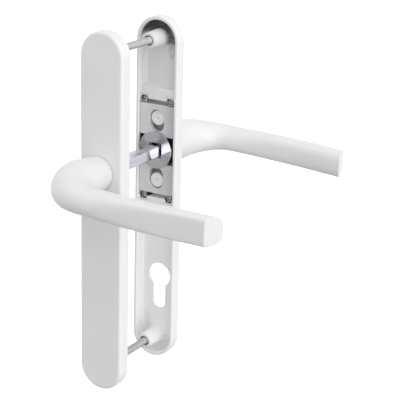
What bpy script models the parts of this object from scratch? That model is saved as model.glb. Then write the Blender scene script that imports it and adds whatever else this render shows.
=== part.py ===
"""Sprung door lever set: two long backplates, two levers, their spring work, the spindle and two screws.

Frame: +X along the levers, +Y from the outer plate to the inner plate, +Z up. The origin is on the spindle's
axis, in the middle of the door. Built in metres.
"""
from math import cos, pi, radians, sin, tan

import bmesh
import bpy
from mathutils import Matrix, Vector

MM = 0.001

# --- driving dimensions -----------------------------------------------------------------------------------
OUTER, INNER = -1, 1  # the side of the door that a plate and its lever are on

DOOR_THICKNESS = 54.0 * MM
HALF_DOOR = DOOR_THICKNESS / 2
TOUCH_GAP = 0.3 * MM  # between pieces that touch
RUNNING_CLEARANCE = 0.05 * MM  # radial, between a lever's stub and its bush

PLATE_LENGTH = 240.0 * MM
PLATE_WIDTH = 32.0 * MM
PLATE_DEPTH = 9.6 * MM
PLATE_CENTRE_Z = -29.9 * MM  # the plate's middle, below the spindle
PLATE_WALL = 2.6 * MM
PLATE_FLOOR_DEPTH = 7.75 * MM  # from the rim to the inside of the face
PLATE_EDGE_RADIUS = 2.3 * MM
ROOT_DEPTH = (PLATE_FLOOR_DEPTH + PLATE_DEPTH) / 2  # where what stands on the floor is rooted

SCREW_CENTRES = 211.0 * MM
SCREW_TOP_Z = 75.7 * MM
SCREW_RADIUS = 2.5 * MM
SCREW_HEAD_RADIUS = 4.7 * MM
SCREW_HEAD_HEIGHT = 2.6 * MM
SCREW_INSET = 0.15 * MM  # of the head, below the plate's face
BOSS_TIP_RADIUS = 5.1 * MM
BOSS_ROOT_RADIUS = 6.3 * MM
BOSS_PROJECTION = 10.3 * MM  # beyond the rim, into the door
BOSS_BORE_RADIUS = 3.3 * MM
THREAD_BORE_DEPTH = 16.0 * MM  # of the outer bosses' blind holes
SCREW_POINT_SHARE = 0.7  # of the screw's radius, at its end
RECESS_WIDTH = 1.2 * MM  # of the cross in the screw's head
RECESS_DEPTH = 1.5 * MM
RECESS_REACH = 2.6 * MM

KEYHOLE_PITCH = 92.0 * MM  # from the spindle down to the cylinder's axis
KEYHOLE_RADIUS = 8.55 * MM
KEYHOLE_SLOT_WIDTH = 10.1 * MM
KEYHOLE_HEIGHT = 33.2 * MM

SPINDLE_WIDTH = 8.0 * MM
SPINDLE_HALF_LENGTH = 49.0 * MM
SPINDLE_CHAMFER = 0.4 * MM
SPINDLE_SOCKET_WIDTH = 8.4 * MM

STUB_RADIUS = 7.0 * MM
STUB_FLAT = 6.2 * MM  # half-width over the flats that drive the cam
SOCKET_MOUTH_RADIUS = 5.7 * MM  # the round mouth of the stub's square socket
SOCKET_MOUTH_DEPTH = 4.0 * MM
BUSH_RADIUS = 8.6 * MM
COLLAR_RADIUS = 11.5 * MM
COLLAR_HEIGHT = 1.5 * MM
NECK_GAP = 0.35 * MM  # between the lever's neck and the plate

DISC_RADIUS = 12.65 * MM
DISC_THICKNESS = 1.2 * MM
DISC_PROUD = 0.36 * MM  # of the rim
DISC_HOLE_WIDTH = 10.3 * MM

WORK_THICKNESS = 4.5 * MM  # of the cam and the slides
WORK_DEPTH = 1.2 * MM  # from the rim to the cam and the slides
SLIDE_INNER_Z = 9.5 * MM
SLIDE_OUTER_Z = 30.8 * MM
SLIDE_CORNER = 1.2 * MM
SLIDE_LIFT = 2.0 * MM  # at the lever's full turn
LEVER_TURN = radians(35)
POST_Z = 21.6 * MM
POST_RADIUS = 5.0 * MM
POST_DEPTH = 2.7 * MM  # from the rim to the post's end
POST_DIMPLE_RADIUS = 1.0 * MM
POST_DIMPLE_DEPTH = 0.5 * MM
POST_DIMPLE_POINT = 0.25 * MM  # the radius that the dimple's cone ends in
SLOT_FREE_TRAVEL = 2.6 * MM
CAM_LIFT_RATE = SLIDE_LIFT / LEVER_TURN  # metres of slide for each radian of lever

CROSS_WALL_Z = 33.9 * MM  # the face that the springs push on is this far from the spindle
CROSS_WALL_THICKNESS = 7.9 * MM
CROSS_WALL_DEPTH = 1.4 * MM  # below the rim
SPRING_X = 10.0 * MM
SPRING_RADIUS = 1.75 * MM  # of the helix
SPRING_WIRE_RADIUS = 0.28 * MM
SPRING_TURNS = 4.0
SPRING_LENGTH = 4.9 * MM
POCKET_WIDTH = 5.2 * MM
POCKET_DEPTH = 5.6 * MM  # from the cross wall's front, towards the plate's face

LEVER_REACH = 108.3 * MM  # from the spindle to the end of the lever's flat face
LEVER_PROJECTION = 59.8 * MM  # from the plate's face, at the bend
LEVER_SET_BACK = 5.6 * MM  # how much closer to the door the flat face is at the tip
LEVER_END_SLANT = radians(20)
LEVER_DROOP = {OUTER: radians(1.0), INNER: radians(2.4)}  # the play between lever and spindle
NECK_RADIUS = 10.9 * MM
NECK_FLARED_RADIUS = 13.4 * MM
NECK_OFFSET = -1.4 * MM
BEND_RADIUS = 29.5 * MM
ARM_HEIGHT = 17.0 * MM
ARM_DEPTH_AT_BEND = 21.6 * MM
ARM_DEPTH_AT_TIP = 13.4 * MM
FLAT_SQUARENESS = 8.0  # superellipse exponent of the section's flat half at the tip
ROUND_SQUARENESS = 2.0  # the exponent of a circle or an ellipse
FLAT_FULL_AT = 0.8  # the share of the arm where its flat is fully formed
FLAT_GROWTH = 1.5  # the power that the flat grows with along the arm
TAPER_POWER = 3  # how soon the arm's depth falls off from the bend

ROUND_STEPS = 48  # round the larger turned forms
BORE_STEPS = 24
BOSS_STEPS = 28
END_STEPS = 20  # along a plate's half-round end
SMALL_STEPS = 20
ARC_STEPS = 10  # along a short arc
SLOT_STEPS = 14  # along a slide slot's half-round end
CORNER_STEPS = 3
BEVEL_STEPS = 4
NECK_STEPS = 5
BEND_STEPS = 11
ARM_STEPS = 13
SECTION_STEPS = 24
COIL_STEPS = 12  # along one turn of a spring
WIRE_SIDES = 5
SMOOTH_ANGLE = radians(32)


# --- mesh helpers -----------------------------------------------------------------------------------------
def clear_scene():
    for old in list(bpy.data.objects):
        bpy.data.objects.remove(old, do_unlink=True)


def new_object(name, mesh_maker):
    """An object whose bmesh mesh_maker fills, with its faces turned outwards."""
    mesh = bpy.data.meshes.new(name)
    bm = bmesh.new()
    mesh_maker(bm)
    bmesh.ops.recalc_face_normals(bm, faces=bm.faces)
    bm.to_mesh(mesh)
    bm.free()
    obj = bpy.data.objects.new(name, mesh)
    bpy.context.scene.collection.objects.link(obj)
    return obj


def loft(bm, rings):
    """Skin closed rings of equal length, with a flat cap on each end."""
    layers = [[bm.verts.new(point) for point in ring] for ring in rings]
    count = len(layers[0])
    for near, far in zip(layers, layers[1:]):
        for i in range(count):
            j = (i + 1) % count
            bm.faces.new((near[i], near[j], far[j], far[i]))
    bm.faces.new(layers[0])
    bm.faces.new(layers[-1])


def prism(name, outline, y_start, y_end):
    """A solid of an outline of (x, z) points between two depths."""
    rings = [[(x, y, z) for x, z in outline] for y in (y_start, y_end)]
    return new_object(name, lambda bm: loft(bm, rings))


def turned(name, profile, z_centre=0.0, x_centre=0.0, steps=ROUND_STEPS):
    """A solid turned about an axis along Y, from (radius, y) pairs."""
    rings = [
        [(x + x_centre, y, z + z_centre) for x, z in circle(radius, steps)]
        for radius, y in profile
    ]
    return new_object(name, lambda bm: loft(bm, rings))


def combine(body, tool, operation):
    """Join or cut a body with a tool for good, and remove the tool."""
    modifier = body.modifiers.new(operation, "BOOLEAN")
    modifier.operation = operation
    modifier.object = tool
    bpy.context.view_layer.update()
    graph = bpy.context.evaluated_depsgraph_get()
    result = bpy.data.meshes.new_from_object(body.evaluated_get(graph))
    body.modifiers.clear()
    body.data = result
    bpy.data.objects.remove(tool, do_unlink=True)


def set_origin(obj, origin):
    """Move an object's origin without moving its shape."""
    obj.data.transform(Matrix.Translation(-Vector(origin)))
    obj.location = origin


def finish(obj, material):
    obj.data.materials.clear()
    obj.data.materials.append(material)
    obj.data.shade_smooth()
    obj.data.set_sharp_from_angle(angle=SMOOTH_ANGLE)
    return obj


# --- outlines in the XZ plane -----------------------------------------------------------------------------
def arc(x, z, radius, start, end, steps):
    angles = [start + (end - start) * i / steps for i in range(steps + 1)]
    return [(x + radius * cos(a), z + radius * sin(a)) for a in angles]


def circle(radius, steps=ROUND_STEPS):
    return arc(0, 0, radius, 0, 2 * pi, steps)[:-1]


def box(x_low, z_low, x_high, z_high):
    return [(x_low, z_low), (x_high, z_low), (x_high, z_high), (x_low, z_high)]


def square(width):
    half = width / 2
    return box(-half, -half, half, half)


def rounded_box(x_low, z_low, x_high, z_high, radius):
    corners = (
        (x_high - radius, z_high - radius, 0.0),
        (x_low + radius, z_high - radius, pi / 2),
        (x_low + radius, z_low + radius, pi),
        (x_high - radius, z_low + radius, 3 * pi / 2),
    )
    points = []
    for x, z, start in corners:
        points += arc(x, z, radius, start, start + pi / 2, CORNER_STEPS)
    return points


def stadium(width, z_low, z_high, steps):
    """An upright slot shape with half-round ends."""
    radius = width / 2
    top = arc(0, z_high - radius, radius, 0, pi, steps)
    bottom = arc(0, z_low + radius, radius, pi, 2 * pi, steps)
    return top + bottom


def plate_outline(inset):
    half = PLATE_LENGTH / 2 - inset
    width = PLATE_WIDTH - 2 * inset
    return stadium(width, PLATE_CENTRE_Z - half, PLATE_CENTRE_Z + half, END_STEPS)


def keyhole_outline():
    """The euro profile: a round opening with a round-ended slot below it."""
    half_slot = KEYHOLE_SLOT_WIDTH / 2
    meet = (KEYHOLE_RADIUS**2 - half_slot**2) ** 0.5
    from_axis = Vector((half_slot, -meet))
    start = from_axis.angle_signed(Vector((1, 0)))
    round_part = arc(0, -KEYHOLE_PITCH, KEYHOLE_RADIUS, start, pi - start, SMALL_STEPS)
    bottom_z = -KEYHOLE_PITCH + KEYHOLE_RADIUS - KEYHOLE_HEIGHT + half_slot
    return round_part + arc(0, bottom_z, half_slot, pi, 2 * pi, ARC_STEPS)


def cam_outline():
    """A cam whose reach towards a flat follower grows evenly with the angle turned."""
    reach = SLIDE_INNER_Z - TOUCH_GAP
    rate = CAM_LIFT_RATE
    flank = []
    for i in range(ARC_STEPS + 1):
        turn = LEVER_TURN * i / ARC_STEPS
        grown = reach + rate * turn
        flank.append((grown * sin(turn) + rate * cos(turn), grown * cos(turn) - rate * sin(turn)))
    right = flank + [(x, -z) for x, z in reversed(flank)]
    return right + [(-x, z) for x, z in reversed(right)]


# --- materials --------------------------------------------------------------------------------------------
def material(name, color, roughness, metallic):
    made = bpy.data.materials.new(name)
    made.use_nodes = True
    shader = made.node_tree.nodes["Principled BSDF"]
    shader.inputs["Base Color"].default_value = (*color, 1.0)
    shader.inputs["Roughness"].default_value = roughness
    shader.inputs["Metallic"].default_value = metallic
    return made


def white_coating(name):
    return material(name + "_coating", (0.84, 0.84, 0.83), 0.35, 0.0)


def white_plastic(name):
    return material(name + "_nylon", (0.75, 0.75, 0.72), 0.45, 0.0)


def zinc_plate(name):
    return material(name + "_zinc", (0.48, 0.48, 0.48), 0.45, 0.9)


def polished_steel(name):
    return material(name + "_polished", (0.66, 0.66, 0.67), 0.18, 1.0)


def bright_steel(name):
    return material(name + "_steel", (0.55, 0.55, 0.56), 0.3, 1.0)


def spring_steel(name):
    return material(name + "_wire", (0.35, 0.35, 0.35), 0.4, 1.0)


# --- backplates -------------------------------------------------------------------------------------------
def rim_y(side):
    return side * HALF_DOOR


def depth_y(side, depth):
    """The place that lies this deep in a plate, measured from its rim."""
    return side * (HALF_DOOR + depth)


def plate_shell(name, side):
    """The outer form with its rounded face edge, hollowed from the rim."""
    rings = [(0.0, 0.0)]
    for i in range(BEVEL_STEPS + 1):
        angle = pi / 2 * i / BEVEL_STEPS
        inset = PLATE_EDGE_RADIUS * (1 - cos(angle))
        rings.append((inset, PLATE_DEPTH - PLATE_EDGE_RADIUS * (1 - sin(angle))))
    outer = [
        [(x, depth_y(side, depth), z) for x, z in plate_outline(inset)]
        for inset, depth in rings
    ]
    shell = new_object(name, lambda bm: loft(bm, outer))
    hollow = prism("hollow", plate_outline(PLATE_WALL), depth_y(side, -MM), depth_y(side, PLATE_FLOOR_DEPTH))
    combine(shell, hollow, "DIFFERENCE")
    return shell


def add_cross_walls(shell, side):
    """The two walls that the springs push on, each with a pocket for each spring."""
    half_width = PLATE_WIDTH / 2 - PLATE_WALL / 2
    front = depth_y(side, CROSS_WALL_DEPTH)
    back = depth_y(side, ROOT_DEPTH)
    for end in (1, -1):
        near, far = end * CROSS_WALL_Z, end * (CROSS_WALL_Z + CROSS_WALL_THICKNESS)
        wall = prism("wall", box(-half_width, min(near, far), half_width, max(near, far)), front, back)
        combine(shell, wall, "UNION")
        pocket_end = end * (SLIDE_OUTER_Z + SPRING_LENGTH + TOUCH_GAP)
        pocket_start = end * (CROSS_WALL_Z - MM)
        for hand in (1, -1):
            x = hand * SPRING_X
            outline = box(
                x - POCKET_WIDTH / 2,
                min(pocket_start, pocket_end),
                x + POCKET_WIDTH / 2,
                max(pocket_start, pocket_end),
            )
            pocket = prism("pocket", outline, front - side * MM, front + side * POCKET_DEPTH)
            combine(shell, pocket, "DIFFERENCE")


def add_posts(shell, side):
    """The round posts that the slides run on, each with a shallow centre dimple."""
    for z in (POST_Z, -POST_Z):
        floor = depth_y(side, ROOT_DEPTH)
        top = depth_y(side, POST_DEPTH)
        post = turned("post", [(POST_RADIUS, floor), (POST_RADIUS, top)], z, steps=BOSS_STEPS)
        combine(shell, post, "UNION")
        bottom = (POST_DIMPLE_POINT, top + side * POST_DIMPLE_DEPTH)
        past_end = (2 * POST_DIMPLE_RADIUS - POST_DIMPLE_POINT, top - side * POST_DIMPLE_DEPTH)
        combine(shell, turned("dimple", [bottom, past_end], z, steps=SMALL_STEPS), "DIFFERENCE")


def add_bosses(shell, side):
    """The screw bosses: through holes with countersinks inside the house, blind ones outside."""
    root = depth_y(side, ROOT_DEPTH)
    tip = depth_y(side, -BOSS_PROJECTION)
    face = depth_y(side, PLATE_DEPTH)
    for z in (SCREW_TOP_Z, SCREW_TOP_Z - SCREW_CENTRES):
        boss = turned("boss", [(BOSS_ROOT_RADIUS, root), (BOSS_TIP_RADIUS, tip)], z, steps=BOSS_STEPS)
        combine(shell, boss, "UNION")
        start = tip - side * MM
        if side == INNER:
            head = SCREW_HEAD_RADIUS + TOUCH_GAP
            sink_top = face + side * TOUCH_GAP
            sink = face - side * (SCREW_HEAD_HEIGHT + SCREW_INSET + TOUCH_GAP)
            profile = [(BOSS_BORE_RADIUS, start), (BOSS_BORE_RADIUS, sink), (head + TOUCH_GAP, sink_top)]
        else:
            bore = SCREW_RADIUS + TOUCH_GAP
            profile = [(bore, start), (bore, tip + side * THREAD_BORE_DEPTH)]
        combine(shell, turned("bore", profile, z, steps=BORE_STEPS), "DIFFERENCE")


def add_lever_bearing(shell, side):
    """The collar and the hole that hold the lever's bush."""
    top = depth_y(side, PLATE_FLOOR_DEPTH - COLLAR_HEIGHT)
    root = depth_y(side, ROOT_DEPTH)
    collar = turned("collar", [(COLLAR_RADIUS, top), (COLLAR_RADIUS, root)])
    combine(shell, collar, "UNION")
    hole = BUSH_RADIUS + TOUCH_GAP
    cut = turned("hole", [(hole, top - side * MM), (hole, depth_y(side, PLATE_DEPTH + MM))])
    combine(shell, cut, "DIFFERENCE")


def backplate(name, side):
    shell = plate_shell(name, side)
    add_cross_walls(shell, side)
    add_posts(shell, side)
    add_bosses(shell, side)
    add_lever_bearing(shell, side)
    if side == INNER:
        cut = prism("keyhole", keyhole_outline(), rim_y(side), depth_y(side, PLATE_DEPTH + MM))
        combine(shell, cut, "DIFFERENCE")
    return finish(shell, white_coating(name))


# --- spring work ------------------------------------------------------------------------------------------
def bush(name, side):
    near = depth_y(side, PLATE_FLOOR_DEPTH - COLLAR_HEIGHT)
    far = depth_y(side, PLATE_DEPTH)
    ring = turned(name, [(BUSH_RADIUS, near), (BUSH_RADIUS, far)])
    bore = STUB_RADIUS + RUNNING_CLEARANCE
    combine(ring, turned("bore", [(bore, near - side * MM), (bore, far + side * MM)]), "DIFFERENCE")
    return finish(ring, white_plastic(name))


def cam(name, side):
    near = depth_y(side, WORK_DEPTH)
    far = near + side * WORK_THICKNESS
    plate = prism(name, cam_outline(), near, far)
    bore = prism("bore", stub_outline(TOUCH_GAP), near - side * MM, far + side * MM)
    combine(plate, bore, "DIFFERENCE")
    set_origin(plate, (0.0, near, 0.0))
    return finish(plate, bright_steel(name))


def retaining_disc(name, side):
    near = depth_y(side, -DISC_PROUD)
    far = near + side * DISC_THICKNESS
    disc = turned(name, [(DISC_RADIUS, near), (DISC_RADIUS, far)])
    hole = prism("hole", square(DISC_HOLE_WIDTH), near - side * MM, far + side * MM)
    combine(disc, hole, "DIFFERENCE")
    set_origin(disc, (0.0, near, 0.0))
    return finish(disc, polished_steel(name))


def slide(name, side, end):
    """A flat plate that a spring pair holds against the cam, with a slot over its post."""
    half_width = PLATE_WIDTH / 2 - PLATE_WALL - TOUCH_GAP
    near = depth_y(side, WORK_DEPTH)
    far = near + side * WORK_THICKNESS
    z_low, z_high = sorted((end * SLIDE_INNER_Z, end * SLIDE_OUTER_Z))
    plate = prism(name, rounded_box(-half_width, z_low, half_width, z_high, SLIDE_CORNER), near, far)
    reach = POST_RADIUS + TOUCH_GAP
    slot_low, slot_high = sorted((end * (POST_Z + reach), end * (POST_Z - reach - SLOT_FREE_TRAVEL)))
    outline = stadium(2 * reach, slot_low, slot_high, SLOT_STEPS)
    combine(plate, prism("slot", outline, near - side * MM, far + side * MM), "DIFFERENCE")
    set_origin(plate, (0.0, near, end * SLIDE_INNER_Z))
    return finish(plate, zinc_plate(name))


def spring(name, side, end, hand):
    """A coil spring along Z between a slide and its cross wall."""
    steps = int(SPRING_TURNS * COIL_STEPS)
    upwards = Vector((0.0, 0.0, 1.0))
    centre_y = depth_y(side, WORK_DEPTH + WORK_THICKNESS / 2)
    start_z = SLIDE_OUTER_Z + SPRING_WIRE_RADIUS + TOUCH_GAP / 2
    climb = SPRING_LENGTH - 2 * SPRING_WIRE_RADIUS - TOUCH_GAP / 2
    rings = []
    for i in range(steps + 1):
        angle = 2 * pi * i / COIL_STEPS
        outwards = Vector((cos(angle), sin(angle), 0.0))
        on_axis = Vector((hand * SPRING_X, centre_y, end * (start_z + climb * i / steps)))
        centre = on_axis + outwards * SPRING_RADIUS
        ring = []
        for k in range(WIRE_SIDES):
            around = 2 * pi * k / WIRE_SIDES
            ring.append(centre + SPRING_WIRE_RADIUS * (cos(around) * outwards + sin(around) * upwards))
        rings.append(ring)
    coil = new_object(name, lambda bm: loft(bm, rings))
    return finish(coil, spring_steel(name))


# --- levers -----------------------------------------------------------------------------------------------
def stub_outline(clearance):
    """The lever stub's section: a circle with two flats."""
    radius, flat = STUB_RADIUS + clearance, STUB_FLAT + clearance
    half_height = (radius**2 - flat**2) ** 0.5
    start = Vector((1, 0)).angle(Vector((flat, half_height)))
    top = arc(0, 0, radius, start, pi - start, SMALL_STEPS)
    return top + [(x, -z) for x, z in reversed(top)]


def power(value, exponent):
    return abs(value) ** exponent


def section(height, depth, squareness):
    """A closed section: its outer half is a superellipse, its door-side half an ellipse."""
    points = []
    for i in range(SECTION_STEPS):
        angle = 2 * pi * i / SECTION_STEPS
        c, s = cos(angle), sin(angle)
        exponent = ROUND_SQUARENESS / squareness if c > 0 else 1.0
        outwards = (1 if c > 0 else -1) * power(c, exponent) * depth / 2
        upwards = (1 if s > 0 else -1) * power(s, exponent) * height / 2
        points.append((outwards, upwards))
    return points


def arm_depth(share):
    """The arm's depth, part of the way from the bend to the tip."""
    return ARM_DEPTH_AT_TIP + (ARM_DEPTH_AT_BEND - ARM_DEPTH_AT_TIP) * (1 - share) ** TAPER_POWER


def neck_sections():
    """(centre x, centre depth, direction, section) up the neck."""
    length = LEVER_PROJECTION - ARM_DEPTH_AT_BEND / 2 - BEND_RADIUS
    for i in range(NECK_STEPS):
        share = i / NECK_STEPS
        size = 2 * (NECK_RADIUS + (NECK_FLARED_RADIUS - NECK_RADIUS) * share)
        points = section(size, size, ROUND_SQUARENESS)
        yield NECK_OFFSET, NECK_GAP + (length - NECK_GAP) * share, pi / 2, points


def bend_sections():
    """The same round the bend, from the flared neck's round to the arm's oval."""
    start = LEVER_PROJECTION - ARM_DEPTH_AT_BEND / 2 - BEND_RADIUS
    for i in range(BEND_STEPS):
        share = i / BEND_STEPS
        eased = share * share * (3 - 2 * share)
        angle = pi / 2 * share
        height = 2 * NECK_FLARED_RADIUS * (1 - eased) + ARM_HEIGHT * eased
        depth = 2 * NECK_FLARED_RADIUS * (1 - eased) + ARM_DEPTH_AT_BEND * eased
        x = NECK_OFFSET + BEND_RADIUS * (1 - cos(angle))
        points = section(height, depth, ROUND_SQUARENESS)
        yield x, start + BEND_RADIUS * sin(angle), pi / 2 - angle, points


def arm_sections():
    """The same along the arm, whose outer side grows flat towards the tip."""
    start = NECK_OFFSET + BEND_RADIUS
    for i in range(ARM_STEPS + 1):
        share = i / ARM_STEPS
        depth = arm_depth(share)
        flatness = min(1.0, share / FLAT_FULL_AT) ** FLAT_GROWTH
        squareness = ROUND_SQUARENESS + (FLAT_SQUARENESS - ROUND_SQUARENESS) * flatness
        x = start + (LEVER_REACH - start) * share
        outwards = LEVER_PROJECTION - LEVER_SET_BACK * share - depth / 2
        yield x, outwards, 0.0, section(ARM_HEIGHT, depth, squareness)


def section_ring(side, x, depth, direction, points, slant=0.0):
    """A section's points in space; slant pushes the door side of a cut end along the arm."""
    front = max(out for out, _ in points)
    ring = []
    for out, up in points:
        along = x - out * sin(direction) + (front - out) * tan(slant)
        ring.append(Vector((along, depth_y(side, PLATE_DEPTH + depth + out * cos(direction)), up)))
    return ring


def lever_rings(side):
    """The rings of neck, bend and arm, turned by the droop about the spindle."""
    *sections, tip = [*neck_sections(), *bend_sections(), *arm_sections()]
    rings = [section_ring(side, *placed) for placed in sections]
    rings.append(section_ring(side, *tip, slant=LEVER_END_SLANT))
    droop = Matrix.Rotation(LEVER_DROOP[side], 3, "Y")
    return [[droop @ point for point in ring] for ring in rings]


def lever(name, side):
    body = new_object(name, lambda bm: loft(bm, lever_rings(side)))
    stub_end = depth_y(side, DISC_THICKNESS - DISC_PROUD + TOUCH_GAP)
    shoulder = depth_y(side, PLATE_FLOOR_DEPTH - COLLAR_HEIGHT)
    root = depth_y(side, PLATE_DEPTH + NECK_RADIUS)
    combine(body, turned("stub", [(STUB_RADIUS, shoulder), (STUB_RADIUS, root)]), "UNION")
    combine(body, prism("drive", stub_outline(0.0), stub_end, shoulder + side * MM), "UNION")
    socket_end = side * (SPINDLE_HALF_LENGTH + MM)
    socket = prism("socket", square(SPINDLE_SOCKET_WIDTH), stub_end - side * MM, socket_end)
    combine(body, socket, "DIFFERENCE")
    mouth_end = stub_end + side * SOCKET_MOUTH_DEPTH
    mouth = [(SOCKET_MOUTH_RADIUS, stub_end - side * MM), (SOCKET_MOUTH_RADIUS, mouth_end)]
    combine(body, turned("mouth", mouth, steps=BORE_STEPS), "DIFFERENCE")
    set_origin(body, (0.0, depth_y(side, PLATE_DEPTH), 0.0))
    return finish(body, white_coating(name))


def spindle(name):
    half, cut = SPINDLE_WIDTH / 2, SPINDLE_CHAMFER
    end = SPINDLE_HALF_LENGTH
    outline = [(half, cut - half), (half, half - cut), (half - cut, half), (cut - half, half)]
    outline += [(-x, -z) for x, z in outline]
    return finish(prism(name, outline, -end, end), bright_steel(name))


# --- fasteners --------------------------------------------------------------------------------------------
def fixing_screw(name, z):
    """A long countersunk screw from the inner plate's face to the outer plate's boss."""
    top = depth_y(INNER, PLATE_DEPTH) - SCREW_INSET
    neck = top - SCREW_HEAD_HEIGHT
    end = depth_y(OUTER, THREAD_BORE_DEPTH - BOSS_PROJECTION) + MM
    point = (SCREW_RADIUS * SCREW_POINT_SHARE, end)
    profile = [point, (SCREW_RADIUS, end + MM / 2), (SCREW_RADIUS, neck), (SCREW_HEAD_RADIUS, top)]
    screw = turned(name, profile, z, steps=SMALL_STEPS)
    arm, half, corner = RECESS_REACH, RECESS_WIDTH / 2, RECESS_WIDTH / 3
    across = rounded_box(-arm, z - half, arm, z + half, corner)
    upright = rounded_box(-half, z - arm, half, z + arm, corner)
    for outline in (across, upright):
        combine(screw, prism("recess", outline, top - RECESS_DEPTH, top + MM), "DIFFERENCE")
    set_origin(screw, (0.0, top, z))
    return finish(screw, bright_steel(name))


# --- the whole set ----------------------------------------------------------------------------------------
def build():
    clear_scene()
    for side, side_name in ((OUTER, "outer"), (INNER, "inner")):
        backplate(side_name + "_plate", side)
        bush(side_name + "_bush", side)
        cam(side_name + "_cam", side)
        retaining_disc(side_name + "_retaining_disc", side)
        for end, end_name in ((1, "upper"), (-1, "lower")):
            slide(f"{side_name}_{end_name}_slide", side, end)
            for hand, hand_name in ((-1, "left"), (1, "right")):
                spring(f"{side_name}_{end_name}_spring_{hand_name}", side, end, hand)
        lever(side_name + "_lever", side)
    spindle("spindle")
    fixing_screw("upper_fixing_screw", SCREW_TOP_Z)
    fixing_screw("lower_fixing_screw", SCREW_TOP_Z - SCREW_CENTRES)


build()
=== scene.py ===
from math import atan2, cos, hypot, pi, radians, sin, tan

import bmesh
import bpy
from mathutils import Matrix, Vector


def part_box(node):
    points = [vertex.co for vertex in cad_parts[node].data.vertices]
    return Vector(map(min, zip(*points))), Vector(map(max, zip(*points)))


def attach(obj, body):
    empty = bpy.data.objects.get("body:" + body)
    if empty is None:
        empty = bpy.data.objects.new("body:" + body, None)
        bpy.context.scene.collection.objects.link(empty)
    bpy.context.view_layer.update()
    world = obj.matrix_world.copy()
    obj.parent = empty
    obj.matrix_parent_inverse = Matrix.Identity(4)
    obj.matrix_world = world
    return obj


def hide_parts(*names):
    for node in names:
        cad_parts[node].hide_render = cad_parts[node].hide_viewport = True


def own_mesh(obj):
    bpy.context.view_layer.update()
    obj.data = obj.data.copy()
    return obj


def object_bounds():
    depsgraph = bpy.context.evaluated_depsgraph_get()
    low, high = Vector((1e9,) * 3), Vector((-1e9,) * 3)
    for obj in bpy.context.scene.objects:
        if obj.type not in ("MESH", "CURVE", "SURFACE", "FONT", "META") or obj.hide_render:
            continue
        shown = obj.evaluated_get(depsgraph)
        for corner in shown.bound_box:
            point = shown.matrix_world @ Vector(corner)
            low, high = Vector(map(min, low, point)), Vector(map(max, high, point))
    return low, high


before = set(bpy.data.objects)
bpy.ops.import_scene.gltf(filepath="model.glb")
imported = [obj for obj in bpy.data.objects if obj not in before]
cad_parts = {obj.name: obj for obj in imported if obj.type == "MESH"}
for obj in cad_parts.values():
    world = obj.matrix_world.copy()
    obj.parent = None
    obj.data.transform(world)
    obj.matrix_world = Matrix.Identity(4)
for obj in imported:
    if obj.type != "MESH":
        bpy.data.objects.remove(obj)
CAD_LOW, CAD_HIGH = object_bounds()

MM = 0.001
OUTER, INNER = -1, 1  # the side of the door that a plate and its lever are on
SIDES = ((OUTER, "outer"), (INNER, "inner"))
ENDS = ((1, "upper"), (-1, "lower"))
HANDS = ((-1, "left"), (1, "right"))

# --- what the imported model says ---
PLATE_LOW, PLATE_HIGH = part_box("inner_plate")
SLIDE_LOW, SLIDE_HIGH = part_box("inner_upper_slide")
DISC_LOW, DISC_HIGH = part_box("inner_retaining_disc")
CAM_LOW, CAM_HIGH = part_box("inner_cam")
BUSH_LOW, BUSH_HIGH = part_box("inner_bush")
SCREW_LOW, SCREW_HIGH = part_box("upper_fixing_screw")
LOWER_SCREW_LOW, LOWER_SCREW_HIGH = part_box("lower_fixing_screw")
SPINDLE_LOW, SPINDLE_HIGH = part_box("spindle")

# --- dimensions: depths are measured from a plate's rim, towards its face ---
PLATE_DEPTH = 9.6 * MM
FACE_Y = PLATE_HIGH.y
RIM_Y = FACE_Y - PLATE_DEPTH
PLATE_WIDTH = PLATE_HIGH.x - PLATE_LOW.x
PLATE_WALL = 2.6 * MM
WALL_DRAFT = 0.12 * MM
FLOOR_DEPTH = 7.75 * MM
FLOOR_FILLET = 1.3 * MM
FACE_EDGE = 2.3 * MM
RIM_EDGE = 1.1 * MM
RIM_INNER_EDGE = 1.2 * MM
ROOT_DEPTH = 8.6 * MM  # where what stands on the floor is rooted
OVERLAP = 0.02 * MM  # how far what stands on the floor runs into it

SCREW_TOP_Z = (SCREW_LOW.z + SCREW_HIGH.z) / 2
SCREW_BOTTOM_Z = (LOWER_SCREW_LOW.z + LOWER_SCREW_HIGH.z) / 2
SCREW_RADIUS = 2.5 * MM
SCREW_HEAD_RADIUS = 4.7 * MM
SCREW_HEAD_HEIGHT = 2.6 * MM
THREAD_PITCH = 0.8 * MM
THREAD_DEPTH = 0.4 * MM
THREAD_LENGTH = 62.0 * MM
BOSS_TIP_RADIUS = 5.1 * MM
BOSS_ROOT_RADIUS = 6.3 * MM
BOSS_BORE_RADIUS = 3.3 * MM
BOSS_TIP_Y = PLATE_LOW.y
BOSS_EDGE = 0.45 * MM
BOSS_FLARE = {1: 1.5 * MM, -1: 5.0 * MM}
THREAD_BORE_DEPTH = 16.0 * MM
SINK_RADIUS = 5.3 * MM
DRIVER_RECESS = (2.7 * MM, 0.55 * MM, 1.7 * MM)  # half length, half width and depth of the cross

KEYHOLE_PITCH = 92.0 * MM
KEYHOLE_RADIUS = 8.55 * MM
KEYHOLE_SLOT = 10.1 * MM
KEYHOLE_HEIGHT = 33.2 * MM
KEYHOLE_EDGE = 0.12 * MM

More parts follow.
